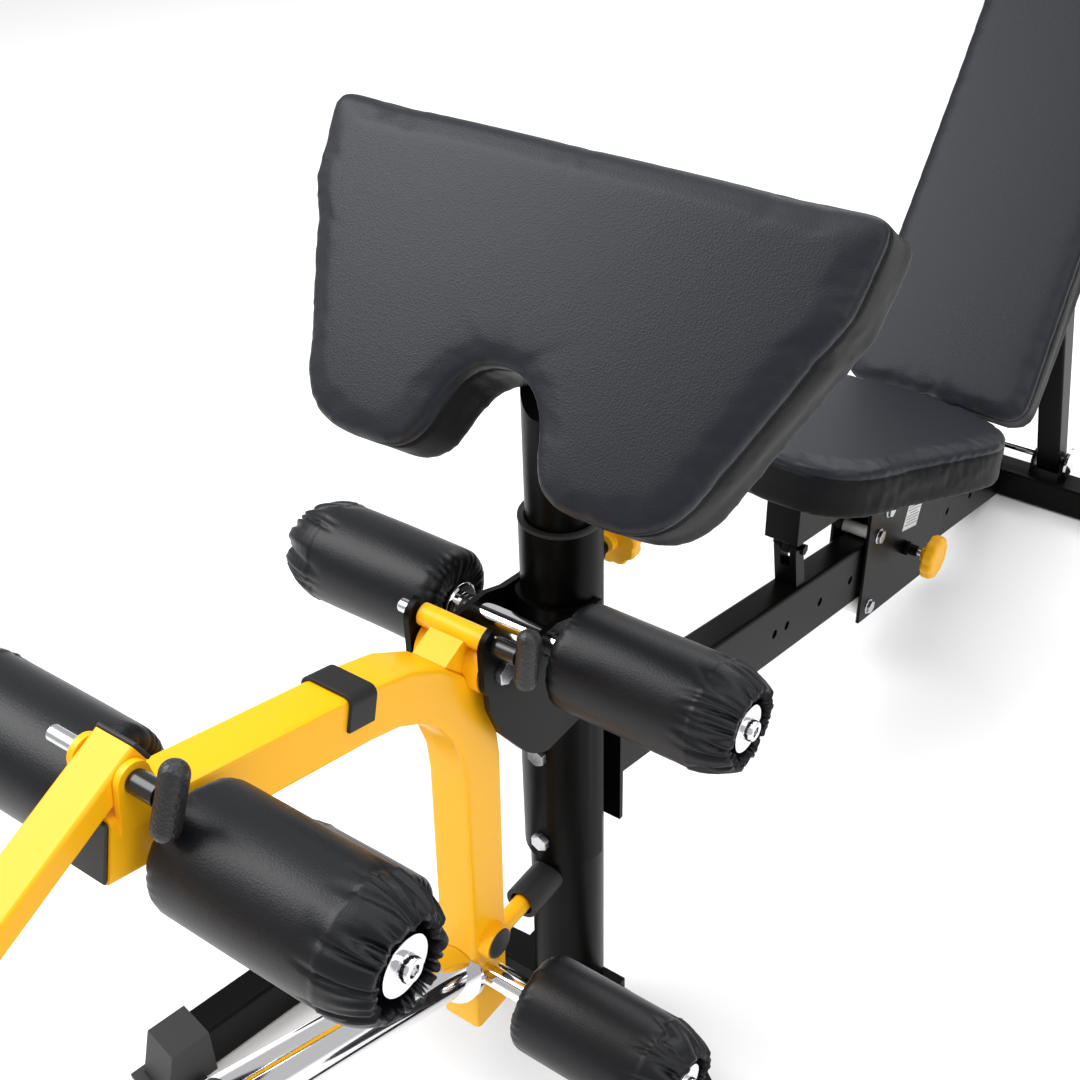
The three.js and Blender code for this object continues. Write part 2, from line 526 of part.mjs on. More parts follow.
// Pad coordinates: x across, y up the face, z out of the face, from the top seam's middle.
function onPreacher(shape) {
  return shape.rotate([PAD_TOP.angle, 0, 0]).translate([0, PAD_TOP.y, PAD_TOP.z]);
}
function preacherOutline() {
  const [top, low, notch] = [PREACHER.halfTop, -PREACHER.height, -PREACHER.notch];
  const s = new THREE.Shape();
  s.moveTo(-top + 12, 0);
  s.lineTo(top - 12, 0);
  s.quadraticCurveTo(top, 0, top, -14);
  s.lineTo(top - 4, -72);
  s.lineTo(193, -216);
  s.quadraticCurveTo(178, low, 128, low);
  s.lineTo(96, low);
  s.quadraticCurveTo(68, low, 58, -238);
  s.quadraticCurveTo(44, notch, 0, notch);
  s.quadraticCurveTo(-44, notch, -58, -238);
  s.quadraticCurveTo(-68, low, -96, low);
  s.lineTo(-128, low);
  s.quadraticCurveTo(-178, low, -193, -216);
  s.lineTo(-top + 4, -72);
  s.lineTo(-top, -14);
  s.quadraticCurveTo(-top, 0, -top + 12, 0);
  return s;
}
add('preacher_pad', onPreacher(padBlock(preacherOutline(), -PREACHER.t, PREACHER.crown, 5)), vinyl);

// Upright tube, spring-pin holes up its back, and the plate under the pad.
const backPlane = -PREACHER.t - GAP;
const mountPlate = onPreacher(box([-90, -172, backPlane - 5], [90, -55, backPlane]));
const ribTop = onPreacher(box([-22, -165, backPlane - 46], [22, -70, backPlane - 4]));
const innerR = INNER_TUBE.d / 2;
const innerTube = rodZ(innerR, INNER_TUBE.bottom, INNER_TUBE.top, 0, 0);
const innerBore = rodZ(innerR - INNER_TUBE.wall, INNER_TUBE.bottom - 1, INNER_TUBE.top - 48, 0, 0);
const belowPad = onPreacher(box([-200, -900, -900], [200, 400, backPlane]));
const tubeHoles = INNER_TUBE.holes.map((drop) => rodY(5.4, 15, 60, 0, POP_Z - drop, 16));
const preacherTube = join(cut(innerTube, innerBore), ribTop, mountPlate).intersect(belowPad);
add('preacher_tube', cut(preacherTube, ...tubeHoles), blackPaint);

// A spring pin's tip stands just clear of its tube, and its knob sits on the plunger's far end.
const plungerR = SPRING_PIN.plunger / 2;
const rearEnd = REAR_KNOB.from - 6;
const plungerSocket = plungerR + GAP;
add('preacher_plunger', rodY(plungerR, innerR + SPRING_PIN.standOff, rearEnd, 0, POP_Z, 16), zinc);
const rearKnob = lobedKnob(REAR_KNOB).rotate([0, 0, 90]).translate([0, REAR_KNOB.from, POP_Z]);
const rearSocket = rodY(plungerSocket, 60, rearEnd + GAP, 0, POP_Z, 16);
add('preacher_knob', cut(rearKnob, rearSocket), yellowPlastic);

// ---------- carriage ----------

const carriageOutline = [[669, 318], [669, 114], [905, 53], [950, 100], [972, 200], [962, 218], [905, 236],
  [800, 300], [770, 318]];
const axleHole = ([y, z]) => rodX((BOLT.d + FIT) / 2, -60, 60, y, z, 16);
const axleHoles = Object.values(AXLES).map(axleHole);
const pinZ = railMid(KNOB.y);
const pinHole = (r, to) => rodX(r, 0, to, KNOB.y, pinZ, 16);
const leftPlate = cut(prismX(carriageOutline, -PLATE.inner - PLATE.t, -PLATE.inner), ...axleHoles);
const rightPlate = cut(prismX(carriageOutline, PLATE.inner, PLATE.inner + PLATE.t), ...axleHoles,
  pinHole((SPRING_PIN.d + FIT) / 2, 60));
add('carriage_plate_left', leftPlate, blackPaint);
add('carriage_plate_right', rightPlate, blackPaint);
const boltHalf = PLATE.inner + PLATE.t + GAP;
const bolts = {
  carriage_bolt_front_upper: AXLES.frontUpper, carriage_bolt_front_lower: AXLES.frontLower,
  seat_pivot_bolt: AXLES.seat, back_pivot_bolt: AXLES.rearUpper,
};
for (const [name, at] of Object.entries(bolts)) add(name, crossBolt(BOLT, boltHalf, ...at), zinc);

function guideRoller(name, r, at) {
  const half = PLATE.inner - 0.5;
  add(name, cut(rodX(r, -half, half, ...at), axleHole(at)), nylon);
}
guideRoller('guide_roller_upper', GUIDE_R.upper, AXLES.frontUpper);
guideRoller('guide_roller_lower', GUIDE_R.lower, AXLES.frontLower);

const pinBoss = join(hexX(20, boltHalf, boltHalf + 8, KNOB.y, pinZ),
  rodX(8, boltHalf + 7, boltHalf + 20, KNOB.y, pinZ));
const plungerEnd = KNOB.from - 4;
add('carriage_pin_boss', cut(pinBoss, pinHole((SPRING_PIN.d + FIT) / 2, 80)), blackPaint);
add('carriage_plunger', rodX(plungerR, RAIL.w / 2 + SPRING_PIN.standOff, plungerEnd, KNOB.y, pinZ, 16),
  zinc);
const sideKnob = lobedKnob(KNOB).translate([KNOB.from, KNOB.y, pinZ]);
add('carriage_knob', cut(sideKnob, pinHole(plungerSocket, plungerEnd + GAP)), yellowPlastic);

// ---------- seat ----------

// Seat coordinates: x across, y to the rear along the top, z out of the top, from the front seam.
function onSeat(shape) {
  return shape.rotate([-SEAT.tilt, 0, 0]).translate([0, SEAT.frontY, SEAT.frontZ]);
}
const seatShape = new THREE.Shape();
seatShape.moveTo(0, 0);
seatShape.bezierCurveTo(62, 0, 84, 18, 104, 84);
seatShape.bezierCurveTo(122, 150, 150, 200, 164, 268);
seatShape.bezierCurveTo(170, 320, 130, SEAT.length - 4, 0, SEAT.length);
seatShape.bezierCurveTo(-130, SEAT.length - 4, -170, 320, -164, 268);
seatShape.bezierCurveTo(-150, 200, -122, 150, -104, 84);
seatShape.bezierCurveTo(-84, 18, -62, 0, 0, 0);
add('seat_pad', onSeat(padBlock(seatShape, -SEAT.t, 0, 8)), vinyl);

const tubeTop = -SEAT.t - GAP;
const tubeLow = tubeTop - SEAT_TUBE.h;
const seatHalf = SEAT_TUBE.w / 2;
const seatWall = SEAT_TUBE.wall;
const ahead = (y) => box([-100, 300, 200], [100, y, 600]);
const seatTube = cut(onSeat(box([-seatHalf, -2, tubeLow], [seatHalf, SEAT_TUBE.end, tubeTop])),
  ahead(SEAT_TUBE.front));
const seatHollow = cut(onSeat(box([seatWall - seatHalf, 2, tubeLow + seatWall],
  [seatHalf - seatWall, SEAT_TUBE.end + 10, tubeTop - seatWall])), ahead(SEAT_TUBE.front + seatWall));
const seatLug = prismX([[700, 330], [709, 272], [714, 258], [729, 252], [744, 258], [749, 272],
  [790, 316]], -6, 6);
const propLug = onSeat(box([-6, 48, tubeLow - 20], [6, 65, tubeLow + 1]));
const propHole = rodX(PROP.pinR + GAP, -60, 60, PROP.y, PROP.z, 16);
add('seat_tube', cut(join(cut(seatTube, seatHollow), seatLug, propLug), axleHole(AXLES.seat), propHole),
  blackPaint);

// The prop is a channel hinged under the seat tube; its foot stands on the rail.
const onRail = (y) => [y, railTop(y) + GAP];
const propShape = new THREE.Shape();
propShape.moveTo(...onRail(PROP.y + 2));
propShape.lineTo(PROP.y - PROP.r, PROP.z);
propShape.absarc(PROP.y, PROP.z, PROP.r, Math.PI, 0, true);
propShape.lineTo(...onRail(PROP.y + 25));
propShape.closePath();
const propBody = prismX(propShape, -PROP.halfW, PROP.halfW, 8);
const propSlot = box([-6.5, PROP.y - 40, PROP.z - 30], [6.5, PROP.y + 60, PROP.z + 40]);
const propPin = join(rodX(PROP.pinR, -19, 19, PROP.y, PROP.z, 16), hexX(13, 18, 23, PROP.y, PROP.z));
add('seat_prop', join(cut(propBody, propSlot), propPin), blackPaint);

// ---------- back rest ----------

const backAngle = rad(BACK.angle);
// Back coordinates: x across, y up the face, z out of the face, from the lower edge.
function onBack(shape) {
  return shape.rotate([BACK.angle, 0, 0]).translate([0, BACK.y, BACK.z]);
}
const backShape = roundedRect(2 * (BACK.halfW - PAD_EDGE), BACK.length - 2 * PAD_EDGE, 26);
const backBlock = padBlock(backShape, -BACK.t, 0, 4).translate([0, BACK.length / 2, 0]);
add('back_pad', onBack(backBlock), vinyl);

// Frame: a tube down the pad's back, cross flats, the hinge link and the strut's cross shaft.
const frameTop = -BACK.t - GAP;
const frameMid = frameTop - FRAME_TUBE.h / 2;
const frameTube = straight(boxSection(FRAME_TUBE.h, FRAME_TUBE.w, FRAME_TUBE.wall),
  [0, -30, frameMid], [0, 600, frameMid]);
const flats = [70, 520].map((y) => box([-105, y, frameTop - 5], [105, y + 40, frameTop]));
const toBack = (y, z) => {
  const [dy, dz] = [y - BACK.y, z - BACK.z];
  return [dy * Math.cos(backAngle) + dz * Math.sin(backAngle),
    -dy * Math.sin(backAngle) + dz * Math.cos(backAngle)];
};
const [pivotS, pivotN] = toBack(...AXLES.rearUpper);
const [strutS, strutN] = toBack(STRUT.topY, STRUT.topZ);
const linkOutline = [[pivotS - 15, pivotN - 4], [pivotS - 8, pivotN + 15], [-30, frameTop - 4],
  [60, frameTop - 20], [0, frameTop - 39], [pivotS + 8, pivotN - 15], [pivotS - 8, pivotN - 16]];
const link = join(prismX(linkOutline, -LINK_HALF, LINK_HALF),
  rodX(17, -LINK_HALF, LINK_HALF, pivotS, pivotN));
const strutLug = prismX([[strutS - 14, strutN], [strutS - 30, frameTop - 30],
  [strutS + 30, frameTop - 30], [strutS + 14, strutN], [strutS, strutN - 14]], -22, 22);
const strutShaft = rodX(11, -62, 62, strutS, strutN);
const backFrame = onBack(join(frameTube, ...flats, link, strutLug, strutShaft));
add('back_frame', cut(backFrame, axleHole(AXLES.rearUpper)), blackPaint);

// Strut: two legs on the crossbar's pivot rod, tied together below the back rest.
const strutVec = new THREE.Vector2(STRUT.topY - STRUT.y, STRUT.topZ - STRUT.z);
const strutLen = strutVec.length();
strutVec.normalize();
const onStrut = (x, t) => [x, STRUT.y + strutVec.x * t, STRUT.z + strutVec.y * t];
const legs = [-STRUT.x, STRUT.x].map((x) => straight(boxSection(STRUT.size, STRUT.size, 0, 4),
  onStrut(x, -STRUT.past), onStrut(x, strutLen + STRUT.past)));
const tie = straight(boxSection(30, 30, 0, 4),
  onStrut(-STRUT.x, STRUT.tie), onStrut(STRUT.x, STRUT.tie));
add('back_strut', cut(join(...legs, tie), strutPivotHole), blackPaint);

// The pivot rod, with a domed cap at each end.
const rodSide = [[6, 114.5], [25, 114.5], [25, 119], [14, 124.5], [0, 126]];
const rodProfile = [...rodSide.map(([r, x]) => [r, -x]).reverse(), ...rodSide];
add('strut_pivot_rod', latheX(rodProfile, STRUT.y, STRUT.z, 28), chrome);

// The bench's own origin is the middle of its footprint, on the floor.
const extent = new THREE.Box3().setFromObject(bench);
const middle = extent.getCenter(new THREE.Vector3());
bench.children.forEach((mesh) => mesh.geometry.translate(0, -middle.y, 0));

export default bench;
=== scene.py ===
"""Looks for the adjustable weight bench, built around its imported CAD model. Metres, +Z up."""

import json
import math

import bmesh
import bpy
from mathutils import Matrix, Vector, noise


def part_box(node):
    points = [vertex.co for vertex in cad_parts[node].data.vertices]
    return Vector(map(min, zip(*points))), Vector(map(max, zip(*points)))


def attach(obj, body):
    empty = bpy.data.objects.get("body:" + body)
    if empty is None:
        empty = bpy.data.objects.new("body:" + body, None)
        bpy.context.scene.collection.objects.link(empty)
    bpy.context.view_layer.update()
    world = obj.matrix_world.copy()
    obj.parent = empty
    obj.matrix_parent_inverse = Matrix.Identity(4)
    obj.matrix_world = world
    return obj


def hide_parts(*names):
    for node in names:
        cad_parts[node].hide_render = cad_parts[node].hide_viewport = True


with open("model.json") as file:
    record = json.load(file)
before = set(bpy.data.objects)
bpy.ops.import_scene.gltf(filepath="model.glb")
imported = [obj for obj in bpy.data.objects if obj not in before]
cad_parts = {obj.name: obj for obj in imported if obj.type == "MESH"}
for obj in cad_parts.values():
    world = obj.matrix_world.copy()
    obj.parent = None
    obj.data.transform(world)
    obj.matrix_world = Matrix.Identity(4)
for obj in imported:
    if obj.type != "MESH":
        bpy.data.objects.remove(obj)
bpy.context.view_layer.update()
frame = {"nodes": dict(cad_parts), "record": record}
NODES = frame["nodes"]
BODY_OF = {n: b for b, names in frame["record"]["behaviour"]["bodies"].items() for n in names}
MM = 0.001


# ---------- materials ----------


def material(name, color, roughness, metallic=0.0, coat=0.0, specular=0.5):
    mat = bpy.data.materials.new(name)
    mat.use_nodes = True
    shader = mat.node_tree.nodes["Principled BSDF"]
    shader.inputs["Base Color"].default_value = (*color, 1)
    shader.inputs["Roughness"].default_value = roughness
    shader.inputs["Metallic"].default_value = metallic
    shader.inputs["Coat Weight"].default_value = coat
    shader.inputs["Coat Roughness"].default_value = 0.1
    shader.inputs["Specular IOR Level"].default_value = specular
    return mat


def grain(mat, scale, strength, distance, kind="noise"):
    """Fine surface relief from a 3-D texture."""
    tree = mat.node_tree
    where = tree.nodes.new("ShaderNodeTexCoord")
    if kind == "noise":
        texture = tree.nodes.new("ShaderNodeTexNoise")
        texture.inputs["Detail"].default_value = 3
        height = texture.outputs["Fac"]
    else:
        texture = tree.nodes.new("ShaderNodeTexVoronoi")
        height = texture.outputs["Distance"]
    texture.inputs["Scale"].default_value = scale
    bump = tree.nodes.new("ShaderNodeBump")
    bump.inputs["Strength"].default_value = strength
    bump.inputs["Distance"].default_value = distance
    tree.links.new(where.outputs["Object"], texture.inputs["Vector"])
    tree.links.new(height, bump.inputs["Height"])
    tree.links.new(bump.outputs["Normal"], tree.nodes["Principled BSDF"].inputs["Normal"])
    return mat


BLACK = grain(material("black_paint", (0.002, 0.0018, 0.0016), 0.36, specular=0.08),
              900, 0.12, 0.0003)
YELLOW = grain(material("yellow_paint", (0.95, 0.465, 0.006), 0.32, coat=0.04, specular=0.2),
               500, 0.05, 0.0003)
KNOB_YELLOW = grain(material("yellow_plastic", (0.9, 0.44, 0.004), 0.42, specular=0.3),
                    700, 0.15, 0.0003)
VINYL = grain(material("vinyl", (0.0082, 0.0097, 0.0146), 0.44, specular=0.27),
              650, 0.28, 0.0005, "voronoi")
# A darker copy of the pad vinyl for the side band below the seam: painted shade, standing in for the
# shadow under the pad's face.
SHADED_BAND_VINYL = grain(material("side_band_painted_shade", (0.0034, 0.0036, 0.0044), 0.48, specular=0.14),
                   650, 0.28, 0.0005, "voronoi")
ROLLER_VINYL = grain(material("roller_vinyl", (0.0036, 0.0042, 0.006), 0.4, specular=0.28),
                     650, 0.22, 0.0004, "voronoi")
PLASTIC = grain(material("black_plastic", (0.024, 0.024, 0.0255), 0.5, specular=0.3),
                600, 0.2, 0.0003)
GRIP = grain(material("textured_grip", (0.012, 0.012, 0.013), 0.42), 420, 0.6, 0.0007, "voronoi")
RUBBER = grain(material("rubber", (0.011, 0.011, 0.012), 0.55, specular=0.35), 300, 0.2, 0.0004)
GLOSS_BLACK = material("gloss_black", (0.009, 0.009, 0.01), 0.2)
CHROME = material("chrome", (0.82, 0.82, 0.84), 0.08, metallic=1.0)
ZINC = material("zinc", (0.62, 0.63, 0.66), 0.25, metallic=1.0)
NYLON = material("nylon", (0.85, 0.85, 0.82), 0.4)
LABEL = material("label", (0.72, 0.72, 0.72), 0.35)
PRINT = material("label_print", (0.2, 0.2, 0.2), 0.5)

SLOT_LOOK = {
    "black_paint": BLACK, "yellow_paint": YELLOW, "yellow_plastic": KNOB_YELLOW, "vinyl": VINYL,
    "black_plastic": PLASTIC, "rubber": RUBBER, "chrome": CHROME, "zinc": ZINC, "nylon": NYLON,
}
SLOT_OF = {s["node"]: s["material_slot"] for s in frame["record"]["subparts"]}
ROUND_EDGE = {
    "black_paint": 1.2 * MM, "yellow_paint": 1.0 * MM, "black_plastic": 1.2 * MM,
    "rubber": 1.0 * MM,
}
WELD = 0.01 * MM
TIP = 0.01 * MM  # the radius that closes a turned outline on its axis


# ---------- CAD pieces shown as they are ----------


def refine(name):
    """Gives a CAD node its material, soft edges and smooth round faces."""
    obj = NODES[name]
    slot = SLOT_OF[name]
    obj.data.materials.clear()
    obj.data.materials.append(SLOT_LOOK[slot])
    custom = obj.data.attributes.get("custom_normal")
    if custom:
        obj.data.attributes.remove(custom)
    obj.data.polygons.foreach_set("use_smooth", [True] * len(obj.data.polygons))
    weld = obj.modifiers.new("Weld", "WELD")
    weld.merge_threshold = WELD
    bevel = obj.modifiers.new("Bevel", "BEVEL")
    bevel.width = ROUND_EDGE.get(slot, 0.5 * MM)
    bevel.segments = 2
    bevel.limit_method = "ANGLE"
    bevel.angle_limit = math.radians(34)
    bevel.use_clamp_overlap = True
    obj.modifiers.new("Normals", "WEIGHTED_NORMAL").keep_sharp = True


# ---------- building new pieces ----------


def link_new(name, data):
    obj = bpy.data.objects.new(name, data)
    bpy.context.scene.collection.objects.link(obj)
    return obj


def new_piece(name, mesh, mat, body):
    obj = link_new(name, mesh)
    obj.data.materials.append(mat)
    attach(obj, body)
    return obj


def mesh_from(name, verts, faces, smooth=True):
    mesh = bpy.data.meshes.new(name)
    mesh.from_pydata([tuple(v) for v in verts], [], faces)
    mesh.validate()
    mesh.update()
    mesh.polygons.foreach_set("use_smooth", [smooth] * len(mesh.polygons))
    return mesh


def turned(name, profile, place, axis, mat, body, around=48, shape=None):
    """Turns (radius, distance) points about an axis through place. shape may move each point."""
    axis = Vector(axis).normalized()
    side = axis.orthogonal().normalized()
    up = axis.cross(side)
    verts, faces = [], []
    for r, d in profile:
        for i in range(around):
            a = 2 * math.pi * i / around
            rr, dd = shape(r, d, a) if shape else (r, d)
            across, along = side * (rr * math.cos(a)), up * (rr * math.sin(a))
            verts.append(Vector(place) + axis * dd + across + along)
    rows = len(profile)
    for j in range(rows - 1):
        for i in range(around):
            k = (i + 1) % around
            low, high = j * around, (j + 1) * around
            faces.append((low + i, low + k, high + k, high + i))
    if profile[0] != profile[-1]:
        faces.append(tuple(reversed(range(around))))
        faces.append(tuple((rows - 1) * around + i for i in range(around)))
    mesh = mesh_from(name, verts, faces)
    face_outward(mesh, merge=1e-6)
    mesh.polygons.foreach_set("use_smooth", [True] * len(mesh.polygons))
    obj = new_piece(name, mesh, mat, body)
    soft_edges(obj)
    return obj


def face_outward(mesh, merge=None):
    """Turns every face outward, after joining points closer than merge."""
    clean = bmesh.new()
    clean.from_mesh(mesh)
    if merge:
        bmesh.ops.remove_doubles(clean, verts=clean.verts, dist=merge)
    bmesh.ops.recalc_face_normals(clean, faces=clean.faces)
    clean.to_mesh(mesh)
    clean.free()


def soft_edges(obj, width=0.5 * MM):
    bevel = obj.modifiers.new("Bevel", "BEVEL")
    bevel.width = width
    bevel.segments = 2
    bevel.limit_method = "ANGLE"
    bevel.angle_limit = math.radians(30)
    obj.modifiers.new("Normals", "WEIGHTED_NORMAL").keep_sharp = True


def centre(node):
    lo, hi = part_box(node)
    return (lo + hi) / 2


def arc(centre_r, centre_d, radius, start, end, steps=6):
    """Points of a round stretch of a turned outline. Angles in degrees from the radial direction."""
    out = []
    for i in range(steps + 1):
        a = math.radians(start + (end - start) * i / steps)
        out.append((centre_r + radius * math.cos(a), centre_d + radius * math.sin(a)))
    return out


# ---------- roller pads ----------


BORE = 13 * MM
SHOULDER = 12 * MM
OUTLINE_STEP = 2.2 * MM
ROLLER_SHARE = 0.965  # of the CAD roller's radius, which leaves room for the folds
PLEATS = {1: 13, -1: 22}  # at the outer and the inner end
GATHERED = {1: 52 * MM, -1: 24 * MM}  # how far the folds run from each end
PLEAT_DEPTH = {1: 6.2 * MM, -1: 3.0 * MM}
PLEAT_FADE = {1: 1.2, -1: 1.3}
PUFF = 1.1 * MM  # how far the vinyl stands out between the folds
RUFFLE = 2.6 * MM  # how uneven the open hood's edge is
WAVES = 0.45 * MM  # how uneven the sleeve is along its length
OVERHANG = 6 * MM


def roller_outline(half, radius, outer):
    """(radius, distance) points of one end of a roller, from its bore out to its middle."""
    if outer:
        lip = [(BORE, half - 12 * MM), (29 * MM, half - 10 * MM), (31 * MM, half - 2 * MM),
               (31.5 * MM, half + 5 * MM), (33.5 * MM, half + 9 * MM), (36.5 * MM, half + 8 * MM)]
        taper = [(39.5 * MM, half + 3.5 * MM), (42.5 * MM, half - 2 * MM),
                 (45.4 * MM, half - 9 * MM), (47.6 * MM, half - 17 * MM), (49.1 * MM, half - 26 * MM)]
        points = lip + taper
    else:
        face = [(BORE, half - 9 * MM), (BORE + 2 * MM, half - 4 * MM), (21 * MM, half - 2 * MM),
                (28 * MM, half - 0.6 * MM), (35 * MM, half)]
        points = face + arc(radius - SHOULDER, half - SHOULDER, SHOULDER, 90, 8)
    fine = [points[0]]
    for (r0, d0), (r1, d1) in zip(points, points[1:]):
        steps = max(1, round(math.hypot(r1 - r0, d1 - d0) / OUTLINE_STEP))
        fine += [(r0 + (r1 - r0) * i / steps, d0 + (d1 - d0) * i / steps)
                 for i in range(1, steps + 1)]
    reach, near_middle, rows = fine[-1][1], 4 * MM, 22
    fine += [(radius, reach - (reach - near_middle) * i / rows) for i in range(1, rows + 1)]
    return fine


def roller(node, seed):
    """A foam roller in a vinyl sleeve: an open, gathered hood outside and a drawn-in face inside."""
    lo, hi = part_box(node)
    mid = (lo + hi) / 2
    half = (hi.x - lo.x) / 2
    radius = ROLLER_SHARE * (hi.z - lo.z) / 2
    out = 1 if mid.x > 0 else -1
    hood = [(r, out * d) for r, d in roller_outline(half, radius, True)]
    face = [(r, -out * d) for r, d in roller_outline(half, radius, False)]
    profile = hood + face[::-1] + [hood[0]]

    def folds(r, d, a):
        """Folds are deepest at the drawn end and die out along the sleeve."""
        if r <= BORE + 0.5 * MM:
            return r, d
        end = 1 if d * out > 0 else -1
        depth = max(0.0, half + OVERHANG - abs(d))
        reach = max(0.0, 1 - depth / GATHERED[end])
        round_noise = Vector((math.cos(a) * 1.9, math.sin(a) * 1.9, seed + end * 3.1))
        wander = noise.noise(round_noise)
        uneven = 0.55 + 0.9 * (0.5 + noise.noise(round_noise * 2.3))
        long_noise = noise.noise(Vector((d * 16, math.cos(a) * 1.6 + seed, math.sin(a) * 1.6)))
        phase = PLEATS[end] / 2 * a + 4.5 * wander + 7 * reach * noise.noise(round_noise * 1.4)
        pleat = (1 - abs(math.sin(phase))) ** 1.35
        sink = PLEAT_DEPTH[end] * reach ** PLEAT_FADE[end] * pleat * uneven
        wave = WAVES * long_noise
        if end > 0:
            puff = PUFF * (abs(math.sin(phase)) - 0.55) * reach
            ruffle = RUFFLE * noise.noise(round_noise * 2.1) * min(1.0, reach * 1.4)
            return r - sink + puff + wave, d + out * (ruffle - sink * 0.35)
        facing = min(1.0, max(0.0, (radius - r) / (14 * MM)))
        return r - sink * (1 - facing) + wave, d + out * sink * facing

    obj = turned(node + "_sleeve", profile, mid, (1, 0, 0), ROLLER_VINYL, BODY_OF[node],
                 around=168, shape=folds)
    obj.modifiers.clear()
    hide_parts(node)


def roller_shaft(node, right):
    """A plated tube with a flat washer against each pad and a socket screw in each outer washer."""
    mid = centre(node)
    rod, disc = 12.5 * MM, 21 * MM
    inner, outer = (corner.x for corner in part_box(right))
    half = [(rod, 0), (rod, inner - 6 * MM), (19 * MM, inner - 5.6 * MM), (disc, inner - 4 * MM),
            (disc, inner - 2 * MM), (rod, inner - 1.8 * MM), (rod, outer + 2 * MM),
            (20.6 * MM, outer + 2 * MM), (disc, outer + 2.6 * MM), (disc, outer + 4.4 * MM),
            (20.6 * MM, outer + 5 * MM), (9.5 * MM, outer + 5 * MM), (9.2 * MM, outer + 9 * MM),
            (8.2 * MM, outer + 11.6 * MM), (7.4 * MM, outer + 12 * MM), (4.6 * MM, outer + 12 * MM),
            (4.4 * MM, outer + 11 * MM), (4.4 * MM, outer + 6 * MM), (TIP, outer + 6 * MM)]
    profile = [(r, -d) for r, d in reversed(half[1:])] + half[1:]
    obj = turned(node + "_plated", profile, mid, (1, 0, 0), CHROME, BODY_OF[node], 56)
    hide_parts(node)


# ---------- knobs and handles ----------


LOBES = 10
LOBE_DEPTH = 0.085  # share of the radius


def lobed_knob(node, axis):
    """A domed knob with ten lobes and a short neck, facing out along its axis."""
    lo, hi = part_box(node)
    mid = (lo + hi) / 2
    axis = Vector(axis)
    radius = max(hi - lo) / 2
    length = (hi - lo).dot(axis)
    base = mid - axis * (length / 2)
    neck = radius * 0.34
    skirt = length - 18 * MM
    profile = [(5.3 * MM, 0), (neck * 0.92, 0), (neck, 1 * MM), (neck, skirt),
               (radius * 0.93, skirt + 0.4 * MM), (radius, skirt + 3 * MM), (radius, length - 6 * MM),
               (radius * 0.97, length - 3 * MM), (radius * 0.9, length - 1 * MM),
               (radius * 0.8, length), (radius * 0.62, length + 0.4 * MM),
               (radius * 0.6, length - 0.6 * MM), (radius * 0.3, length - 0.4 * MM), (TIP, length)]

    def lobes(r, d, a):
        amount = max(0.0, (r - neck) / (radius - neck)) ** 2
        return r * (1 - LOBE_DEPTH * amount * (0.5 - 0.5 * math.cos(LOBES * a)) ** 1.6), d

    obj = turned(node + "_moulded", profile, base, axis, KNOB_YELLOW, BODY_OF[node],
                 around=120, shape=lobes)
    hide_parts(node)


def handle(node, lean):
    """A textured capsule grip, leaning back from upright by an angle in degrees."""
    mid = centre(node)
    radius = 10 * MM
    mid.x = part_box(node)[1].x - radius
    half = 18 * MM
    axis = Vector((0, math.sin(math.radians(lean)), math.cos(math.radians(lean))))
    profile = [(TIP, -half - radius)] + arc(0, -half, radius, -84, 0, 8)
    profile += arc(0, half, radius, 0, 84, 8) + [(TIP, half + radius)]
    obj = turned(node + "_grip", profile, mid, axis, GRIP, BODY_OF[node], 40)
    obj.modifiers.clear()
    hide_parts(node)


def pull_pin(node, collar):
    """A plated pin with a glossy black stem from a collar line out to its handle."""
    lo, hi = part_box(node)
    place = (0, (lo.y + hi.y) / 2, (lo.z + hi.z) / 2)
    pin = [(TIP, lo.x), (4.6 * MM, lo.x), (6 * MM, lo.x + 1.6 * MM), (6 * MM, collar + 2 * MM),
           (TIP, collar + 2 * MM)]
    stem = [(TIP, collar), (8.1 * MM, collar), (8.6 * MM, collar + 0.6 * MM),
            (8.6 * MM, hi.x + 1 * MM), (TIP, hi.x + 1 * MM)]
    shaft = turned(node + "_plated", pin, place, (1, 0, 0), ZINC, BODY_OF[node], 32)
    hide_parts(node)
    turned(node + "_stem", stem, place, (1, 0, 0), GLOSS_BLACK, BODY_OF[node], 32)


def washer(name, place, radius, body):
    """A plain washer lying on a face that looks along +X."""
    bore, thick = 5 * MM, 1.9 * MM
    profile = [(bore, 0), (radius, 0), (radius, 1.4 * MM), (radius - 0.5 * MM, thick),
               (bore, thick), (bore, 0)]
    turned(name, profile, place, (1, 0, 0), ZINC, body, 36)


# ---------- small fittings ----------


def block(name, low, high, mat, body, turn, about, soft):
    """A box between two corners, turned about X by an angle in degrees round a point."""
    corners = [(x, y, z) for x in (low[0], high[0]) for y in (low[1], high[1])
               for z in (low[2], high[2])]
    spin = Matrix.Rotation(math.radians(turn), 3, "X")
    verts = [about + spin @ (Vector(c) - about) for c in corners]
    faces = [(0, 1, 3, 2), (4, 6, 7, 5), (0, 4, 5, 1), (2, 3, 7, 6), (0, 2, 6, 4), (1, 5, 7, 3)]
    obj = new_piece(name, mesh_from(name, verts, faces, False), mat, body)
    soft_edges(obj, soft)


